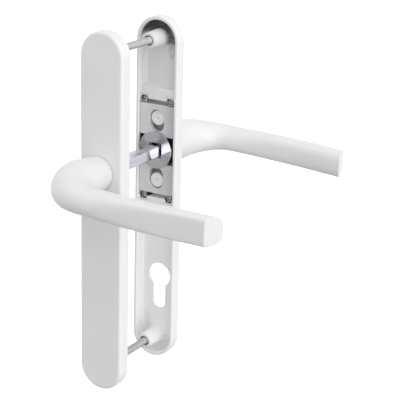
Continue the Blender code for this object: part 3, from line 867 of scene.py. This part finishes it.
# --- tones ---
WHITE, WHITE_SHADE = grey(0.87), grey(0.84)
LEVER_WHITE, LEVER_WHITE_SHADE = grey(0.83), grey(0.80)
# painted light and shade: the recess's coat lit brighter inside, and shaded at its top and hollows
WHITE_INSIDE_LIT, WHITE_INSIDE_SHADED = grey(0.91), grey(0.80)
# the dark colour of the painted shade at the top of the recess, also used for a speckled patch
CASTING_AND_SHADE_DARK, CASTING_AND_SHADE_SWIRL, CASTING_AND_SHADE_PALE = grey(0.07), grey(0.17), grey(0.36)
# the last post tone is painted shade in the dimple of each post's end
POST_RUBBED, POST_RING, POST_DIMPLE_SHADE = grey(0.95), grey(0.8), grey(0.68)
# painted shade in the spring pockets, bores and slots, and by the cam
POCKET_SHADE = grey(0.03)
# the bright and dull zinc tones are a painted highlight and painted shade
ZINC, ZINC_CLOUD, ZINC_LIT_SHEEN, ZINC_WALL_SHADE = grey(0.73), (0.66, 0.66, 0.67), grey(0.88), grey(0.48)
NYLON = (0.78, 0.77, 0.73)
STEEL, STEEL_CLOUD = (0.64, 0.64, 0.65), (0.5, 0.5, 0.51)
SCREW_PAINTED_TONES = {  # painted light: each screw's tone, set for how it is lit, between the plates, and in the boss
    "upper_fixing_screw": (0.56, 0.74),
    "lower_fixing_screw": (0.51, 0.51),
}
WIRE = (0.66, 0.66, 0.67)
BLACKENED, BLACKENED_CLOUD = grey(0.07), grey(0.04)
PUNCHED, PUNCHED_TEAR = (0.78, 0.78, 0.79), (0.55, 0.55, 0.56)
SPINDLE_BRIGHT, SPINDLE_STREAK = (0.88, 0.86, 0.92), (0.74, 0.75, 0.82)
# a painted reflection in blue on the bar's upper side
SPINDLE_TOP_REFLECTION, SPINDLE_TOP_REFLECTION_STREAK = (0.74, 0.77, 0.9), (0.55, 0.58, 0.66)
# the last disc tone is painted shade, for the reflection sectors below
DISC_BRIGHT, DISC_WARM, DISC_REFLECTION_SHADE = (0.76, 0.77, 0.79), (0.78, 0.73, 0.77), (0.34, 0.35, 0.37)
DISC_REFLECTION_SECTORS = (  # painted shade sectors for the turned face's reflection: direction, half width and strength
    (pi, radians(50), 0.75),
    (radians(50), radians(36), 0.55),
    (radians(-35), radians(30), 0.25),
)


# --- the material of each kind of piece ---
def coating(name, white, shade):
    """White powder coat: a faint orange peel, fine grain and slow drifts of tone and gloss."""
    surface = Surface(name + "_white_coat", white, 0.32, Specular_IOR_Level=0.5)
    tone = surface.two_tone(surface.noise(35.0, 3.0), white, shade, 0.3, 0.7)
    surface.roughness(surface.noise(60.0), 0.30, 0.35)
    peel = surface.bump(surface.noise(620.0, 1.0), 0.006 * MM)
    surface.grain(1900.0, 0.0006 * MM, peel)
    return surface, tone


def lever_material(name):
    surface, tone = coating(name, LEVER_WHITE, LEVER_WHITE_SHADE)
    surface.color(tone)
    return surface.material


class PlatePlaces:
    """Where a point of a plate is, as node outputs that the plate's tones are worked out from."""

    def __init__(self, surface, side):
        self.x, self.z = surface.axis("X"), surface.axis("Z")
        self.up, self.across = surface.math("ABSOLUTE", self.z), surface.math("ABSOLUTE", self.x)
        self.depth = surface.product(surface.axis("Y"), side)

        def from_centre(height, centre_z):
            return surface.length(self.x, surface.math("SUBTRACT", height, centre_z))

        self.from_upper_boss = from_centre(self.z, SCREW_TOP_Z)
        self.from_lower_boss = from_centre(self.z, SCREW_BOTTOM_Z)
        self.from_post = from_centre(self.up, POST_Z)
        past_end = surface.math("SUBTRACT", self.z, PLATE_HIGH.z - PLATE_WIDTH / 2)
        from_middle = surface.length(self.x, surface.math("MAXIMUM", past_end, 0.0))
        wall = PLATE_WIDTH / 2 - PLATE_WALL
        within = surface.between(from_middle, wall + 0.2 * MM, wall + 0.5 * MM, 1.0, 0.0)
        behind_face = surface.between(self.depth, FACE_Y - 1.7 * MM, FACE_Y - 1.2 * MM, 1.0, 0.0)
        self.inside = surface.product(within, behind_face)


def recess_light_and_shade(surface, at):
    """The recess's coat, painted lighter than outside, with painted shade towards the top, round the lower
    boss and in an oval beside it.
    """
    high = surface.between(at.z, -30.0 * MM, 55.0 * MM, smooth=True)
    from_oval_centre = surface.length(
        surface.math("DIVIDE", surface.math("ADD", at.x, 9.0 * MM), 3.0 * MM),
        surface.math("DIVIDE", surface.math("ADD", at.z, 127.5 * MM), 7.5 * MM),
    )
    oval_shade = surface.between(from_oval_centre, 0.75, 1.05, 0.7, 0.0, True)
    boss_shade = surface.between(at.from_lower_boss, 6.0 * MM, 10.0 * MM, 0.5, 0.0, True)
    return surface.mix(surface.largest(high, oval_shade, boss_shade), WHITE_INSIDE_LIT, WHITE_INSIDE_SHADED)


def shade_and_speckle_share(surface, at, side):
    """How much dark colour goes on: painted shade at the top of the recess, and a speckled patch of the
    inner plate.
    """
    slanting = surface.math("ADD", at.z, surface.product(at.x, 0.3))
    ragged = surface.math("ADD", slanting, surface.product(surface.noise(160.0, 3.0), 6 * MM))
    shade_and_speckle = surface.between(ragged, SCREW_TOP_Z - 2.0 * MM, SCREW_TOP_Z + 3.5 * MM, smooth=True)
    if side == INNER:
        speckle = surface.between(surface.noise(420.0, 4.0), 0.42, 0.58, 0.04, 0.38)
        on_right = surface.band(at.x, 5 * MM, 20 * MM, 1.5 * MM)
        below_boss = surface.band(at.z, 63 * MM, 80 * MM, 3 * MM)
        shade_and_speckle = surface.largest(shade_and_speckle, surface.product(on_right, below_boss, speckle))
    deep = surface.between(at.depth, RIM_Y + 0.7 * MM, RIM_Y + 2.6 * MM, smooth=True)
    off_boss = surface.between(at.from_upper_boss, 5.7 * MM, 6.3 * MM, smooth=True)
    return surface.product(deep, at.inside, off_boss, shade_and_speckle)


def shade_and_speckle_colour(surface, at):
    """The dark, swirly colour of the painted shade and the speckles, paler on the right."""
    swirl = surface.between(surface.noise(1.0, 6.0, stretch=(210.0, 210.0, 520.0)), 0.35, 0.65)
    pale = surface.product(surface.between(at.x, 2.0 * MM, 9.0 * MM), swirl)
    return surface.mix(pale, surface.mix(swirl, CASTING_AND_SHADE_DARK, CASTING_AND_SHADE_SWIRL), CASTING_AND_SHADE_PALE)


def post_end(surface, at):
    """Rubbed bright, with turning rings, and painted shade in the dimple."""
    rings = surface.math("SINE", surface.product(at.from_post, 5200.0))
    rubbed = surface.two_tone(rings, POST_RUBBED, POST_RING, 0.2, 0.9)
    return surface.mix(surface.between(at.from_post, 0.7 * MM, 1.2 * MM, 1.0, 0.0), rubbed, POST_DIMPLE_SHADE)


def painted_shade_share(surface, at):
    """How much painted shade: in the spring pockets and bores, by the cam, behind the slots."""
    beside_cross_wall = surface.band(at.up, 32.5 * MM, 37.0 * MM)
    pocket = surface.product(beside_cross_wall, surface.band(at.across, 6.4 * MM, 13.2 * MM))
    by_cam = surface.between(at.up, 9.6 * MM, 10.4 * MM, 1.0, 0.0)
    below = surface.between(at.depth, RIM_Y + 1.5 * MM, RIM_Y + 2.6 * MM, 0.0, 0.93)
    behind_slot = surface.product(
        surface.band(at.up, 9 * MM, 28 * MM),
        surface.between(at.across, 6.2 * MM, 6.6 * MM, 1.0, 0.0),
        surface.between(at.from_post, POST_RADIUS + 0.05 * MM, POST_RADIUS + 0.15 * MM, 0.0, 0.5),
    )
    shaded = surface.product(surface.largest(pocket, by_cam, behind_slot), below, at.inside)
    from_bore = surface.math("MINIMUM", at.from_upper_boss, at.from_lower_boss)
    in_bore = surface.between(from_bore, BOSS_BORE_RADIUS, BOSS_BORE_RADIUS + 0.1 * MM, 1.0, 0.0)
    sunk = surface.band(at.depth, BOSS_TIP_Y + 0.8 * MM, BOSS_TIP_Y + THREAD_BORE_DEPTH, 0.4 * MM)
    return surface.largest(shaded, surface.product(in_bore, sunk))


def plate_material(side, side_name):
    """The coat, with painted shade at the top of the recess and in the pockets, bores and slots, and rubbed
    off the posts' ends.
    """
    surface, tone = coating(side_name + "_plate", WHITE, WHITE_SHADE)
    at = PlatePlaces(surface, side)
    coat = surface.mix(at.inside, tone, recess_light_and_shade(surface, at))
    shaded_coat = surface.mix(shade_and_speckle_share(surface, at, side), coat, shade_and_speckle_colour(surface, at))
    on_post = surface.between(at.from_post, POST_RADIUS, POST_RADIUS + 0.1 * MM, 1.0, 0.0)
    near = surface.between(at.depth, RIM_Y + 3.2 * MM, RIM_Y + 3.6 * MM, 1.0, 0.0)
    worn = surface.mix(surface.product(on_post, near), shaded_coat, post_end(surface, at))
    surface.color(surface.mix(painted_shade_share(surface, at), worn, POCKET_SHADE))
    return surface.material


def nylon_material(name):
    surface = Surface(name + "_nylon", NYLON, 0.45, Specular_IOR_Level=0.45)
    surface.roughness(surface.noise(900.0, 3.0), 0.4, 0.52)
    surface.grain(1500.0, 0.004 * MM)
    return surface.material


def zinc_material(name):
    """Dull zinc-plated sheet, cloudy and streaked, with a painted highlight on the left fading into painted
    shade by the wall on the right.
    """
    surface = Surface(name + "_zinc", ZINC, 0.5, 0.15)
    x = surface.axis("X")
    cloudy = surface.two_tone(surface.noise(190.0, 4.0), ZINC, ZINC_CLOUD, 0.3, 0.7)
    lit_left = surface.mix(surface.between(x, -12.0 * MM, 3.0 * MM, 0.6, 0.0, True), cloudy, ZINC_LIT_SHEEN)
    surface.color(surface.mix(surface.between(x, 4.0 * MM, 13.5 * MM, 0.0, 0.7, True), lit_left, ZINC_WALL_SHADE))
    streaks = surface.noise(1.0, 4.0, stretch=(260.0, 260.0, 2600.0))
    surface.roughness(streaks, 0.38, 0.52)
    surface.normal(surface.bump(streaks, 0.004 * MM))
    return surface.material


def disc_material(name):
    """Bright turned face: fine rings about the spindle's axis, and painted dark sectors standing for its
    reflection, which changes round the disc.
    """
    surface = Surface(name + "_disc", DISC_BRIGHT, 0.09, 1.0)
    x, z = surface.axis("X"), surface.axis("Z")
    radius = surface.length(x, z)
    streaks = surface.noise(1.0, 4.0, stretch=(170.0, 170.0, 1100.0))
    shade = surface.between(streaks, 0.35, 0.65, -0.14, 0.14)
    for angle, half_width, strength in DISC_REFLECTION_SECTORS:
        along = surface.math("ADD", surface.product(x, cos(angle)), surface.product(z, sin(angle)))
        facing = surface.math("DIVIDE", along, surface.math("MAXIMUM", radius, MM))
        reflection_sector = surface.between(facing, cos(half_width), 1.0, 0.0, strength, True)
        shade = surface.math("ADD", shade, reflection_sector)
    tint = surface.two_tone(surface.noise(260.0, 3.0), DISC_BRIGHT, DISC_WARM, 0.4, 0.6)
    surface.color(surface.mix(shade, tint, DISC_REFLECTION_SHADE))
    surface.roughness(surface.noise(420.0, 4.0), 0.06, 0.14)
    rings = surface.node("TexNoise", noise_dimensions="1D")
    rings.inputs["Scale"].default_value = 5200.0
    rings.inputs["Detail"].default_value = 3.0
    surface.connect(radius, rings.inputs["W"])
    wavy = surface.bump(surface.noise(230.0, 1.0), 0.02 * MM)
    surface.normal(surface.bump(rings.outputs["Fac"], 0.0012 * MM, wavy))
    return surface.material


def punched_material(name):
    """The torn, dull wall that a punch leaves."""
    surface = Surface(name + "_punched", PUNCHED, 0.5, 0.1)
    tears = surface.noise(1.0, 3.0, stretch=(2200.0, 150.0, 2200.0))
    surface.color(surface.two_tone(tears, PUNCHED, PUNCHED_TEAR, 0.3, 0.7))
    surface.normal(surface.bump(tears, 0.006 * MM))
    return surface.material


def spindle_material():
    """Bright drawn bar: fine lines along it, and a faint blue painted reflection on its upper side."""
    surface = Surface("spindle_bar", SPINDLE_BRIGHT, 0.1, 1.0)
    streaks = surface.noise(1.0, 4.0, stretch=(700.0, 90.0, 700.0))
    drawn = surface.two_tone(streaks, SPINDLE_BRIGHT, SPINDLE_STREAK)
    top_reflection = surface.two_tone(streaks, SPINDLE_TOP_REFLECTION, SPINDLE_TOP_REFLECTION_STREAK, 0.4, 0.6)
    top = SPINDLE_HIGH.z
    on_top = surface.between(surface.axis("Z"), top - 0.3 * MM, top - 0.1 * MM)
    surface.color(surface.mix(on_top, drawn, top_reflection))
    surface.roughness(surface.noise(300.0, 3.0), 0.06, 0.16)
    lines = surface.noise(1.0, 3.0, stretch=(3000.0, 25.0, 3000.0))
    surface.normal(surface.bump(lines, 0.0012 * MM))
    return surface.material


def steel_material(name):
    surface = Surface(name + "_steel", STEEL, 0.26, 1.0)
    cloud = surface.noise(500.0, 4.0)
    surface.color(surface.two_tone(cloud, STEEL, STEEL_CLOUD))
    surface.roughness(cloud, 0.2, 0.36)
    surface.grain(2400.0, 0.002 * MM)
    return surface.material


def screw_material(name):
    """Zinc plate on rolled steel, dull and cloudy, with painted light: a tone set for each screw, and a
    tone of its own inside the boss.
    """
    tone, lit_in_boss_tone = SCREW_PAINTED_TONES[name]
    darker = 0.78 * tone
    surface = Surface(name + "_plated", grey(tone), 0.42, 0.35)
    cloud = surface.noise(1.0, 4.0, stretch=(420.0, 900.0, 420.0))
    clouded = surface.two_tone(cloud, grey(tone), (darker, darker, 1.02 * darker))
    in_boss = surface.between(surface.axis("Y"), BOSS_TIP_Y - 1.2 * MM, BOSS_TIP_Y - 0.6 * MM)
    surface.color(surface.mix(in_boss, clouded, grey(lit_in_boss_tone)))
    surface.roughness(cloud, 0.36, 0.5)
    surface.grain(2400.0, 0.002 * MM)
    return surface.material


def cam_material(name):
    """Blackened steel under a film of grease."""
    surface = Surface(name + "_blackened", BLACKENED, 0.35, 0.4)
    cloud = surface.noise(500.0, 4.0)
    surface.color(surface.two_tone(cloud, BLACKENED, BLACKENED_CLOUD))
    surface.roughness(cloud, 0.28, 0.45)
    surface.grain(1800.0, 0.003 * MM)
    return surface.material


def wire_material(name):
    surface = Surface(name + "_wire", WIRE, 0.2, 1.0)
    surface.roughness(surface.noise(1800.0, 3.0), 0.15, 0.28)
    surface.grain(4000.0, 0.002 * MM)
    return surface.material


# --- studio ---
def camera():
    right, up = Vector((0.8579, 0.5132, 0.0262)), Vector((-0.1847, 0.2605, 0.9476))
    forward, place = Vector((-0.4795, 0.8178, -0.3183)), Vector((0.4594, -0.6956, 0.2530))
    data = bpy.data.cameras.new("camera")
    data.sensor_width = 36.0
    data.lens = 120.3
    obj = in_scene("camera", data)
    columns = Matrix((right, up, -forward)).transposed()
    obj.matrix_world = Matrix.Translation(place) @ columns.to_4x4()
    bpy.context.scene.camera = obj


def floor():
    half, z = 12.0, CAD_LOW.z - 0.2 * MM
    corners = [(-half, -half, z), (half, -half, z), (half, half, z), (-half, half, z)]
    mesh = bpy.data.meshes.new("floor")
    mesh.from_pydata(corners, [], [(0, 1, 2, 3)])
    obj = in_scene("floor", mesh)
    pale = Surface("floor", grey(0.9), 0.9)
    pale.shader.inputs["Emission Color"].default_value = (1.0, 1.0, 1.0, 1.0)
    pale.shader.inputs["Emission Strength"].default_value = 0.5
    mesh.materials.append(pale.material)
    obj.visible_diffuse = False
    obj.visible_glossy = False


BROAD, NARROW = 4.0, 40.0  # how sharply a light is bounded
STUDIO_LIGHTS = (  # direction, bound and strength
    ((0.93, -0.37, 0.00), BROAD, 1.45),  # right, the main light
    ((0.60, -0.35, 0.72), BROAD, 1.25),  # high on the right
    ((0.85, -0.30, -0.43), BROAD, 0.20),  # low on the right
    ((0.10, 0.10, 0.99), BROAD, 0.20),  # top
    ((-0.64, -0.77, 0.00), BROAD, 0.25),  # front left
    ((-0.65, 0.00, 0.76), BROAD, 0.85),  # high on the left
    ((-0.98, 0.00, -0.20), BROAD, 1.05),  # left
    ((-0.20, 0.96, -0.20), BROAD, 1.05),  # back
    ((0.60, 0.75, 0.25), BROAD, 0.55),  # back right
    ((0.00, 0.00, -1.00), BROAD, 0.25),  # below
    ((0.48, -0.82, -0.32), NARROW, 0.77),  # strip beside the camera, for the bright metal
)


def studio_light():
    """A soft white studio all round: every light fades smoothly about its direction."""
    world = bpy.data.worlds.new("studio")
    bpy.context.scene.world = world
    world.use_nodes = True
    nodes, links = world.node_tree.nodes, world.node_tree.links
    background = nodes["Background"]
    background.inputs["Color"].default_value = (1.0, 1.0, 1.0, 1.0)
    place = nodes.new("ShaderNodeTexCoord").outputs["Generated"]

    def multiply_add(value, factor, addend=0.0):
        made = nodes.new("ShaderNodeMath")
        made.operation = "MULTIPLY_ADD"
        made.inputs[1].default_value = factor
        made.inputs[2].default_value = addend
        links.new(value, made.inputs[0])
        return made

    total = None
    for direction, bound, strength in STUDIO_LIGHTS:
        dot = nodes.new("ShaderNodeVectorMath")
        dot.operation = "DOT_PRODUCT"
        dot.inputs[1].default_value = direction
        links.new(place, dot.inputs[0])
        spread = multiply_add(dot.outputs["Value"], bound, -bound)
        light = nodes.new("ShaderNodeMath")
        light.operation = "EXPONENT"
        links.new(spread.outputs[0], light.inputs[0])
        summed = multiply_add(light.outputs[0], strength)
        if total:
            links.new(total, summed.inputs[2])
        total = summed.outputs[0]
    links.new(total, background.inputs["Strength"])


# --- the whole set ---
def build():
    for side, side_name in SIDES:
        backplate(side, side_name)
        bush(side, side_name)
        cam(side, side_name)
        disc(side, side_name)
        lever(side, side_name)
        for end, end_name in ENDS:
            slide(side, side_name, end, end_name)
            for hand, hand_name in HANDS:
                spring(side, side_name, end_name, hand, hand_name)
    spindle()
    fixing_screw("upper_fixing_screw")
    fixing_screw("lower_fixing_screw")


build()
camera()
floor()
studio_light()
bpy.context.scene.view_settings.view_transform = "Standard"
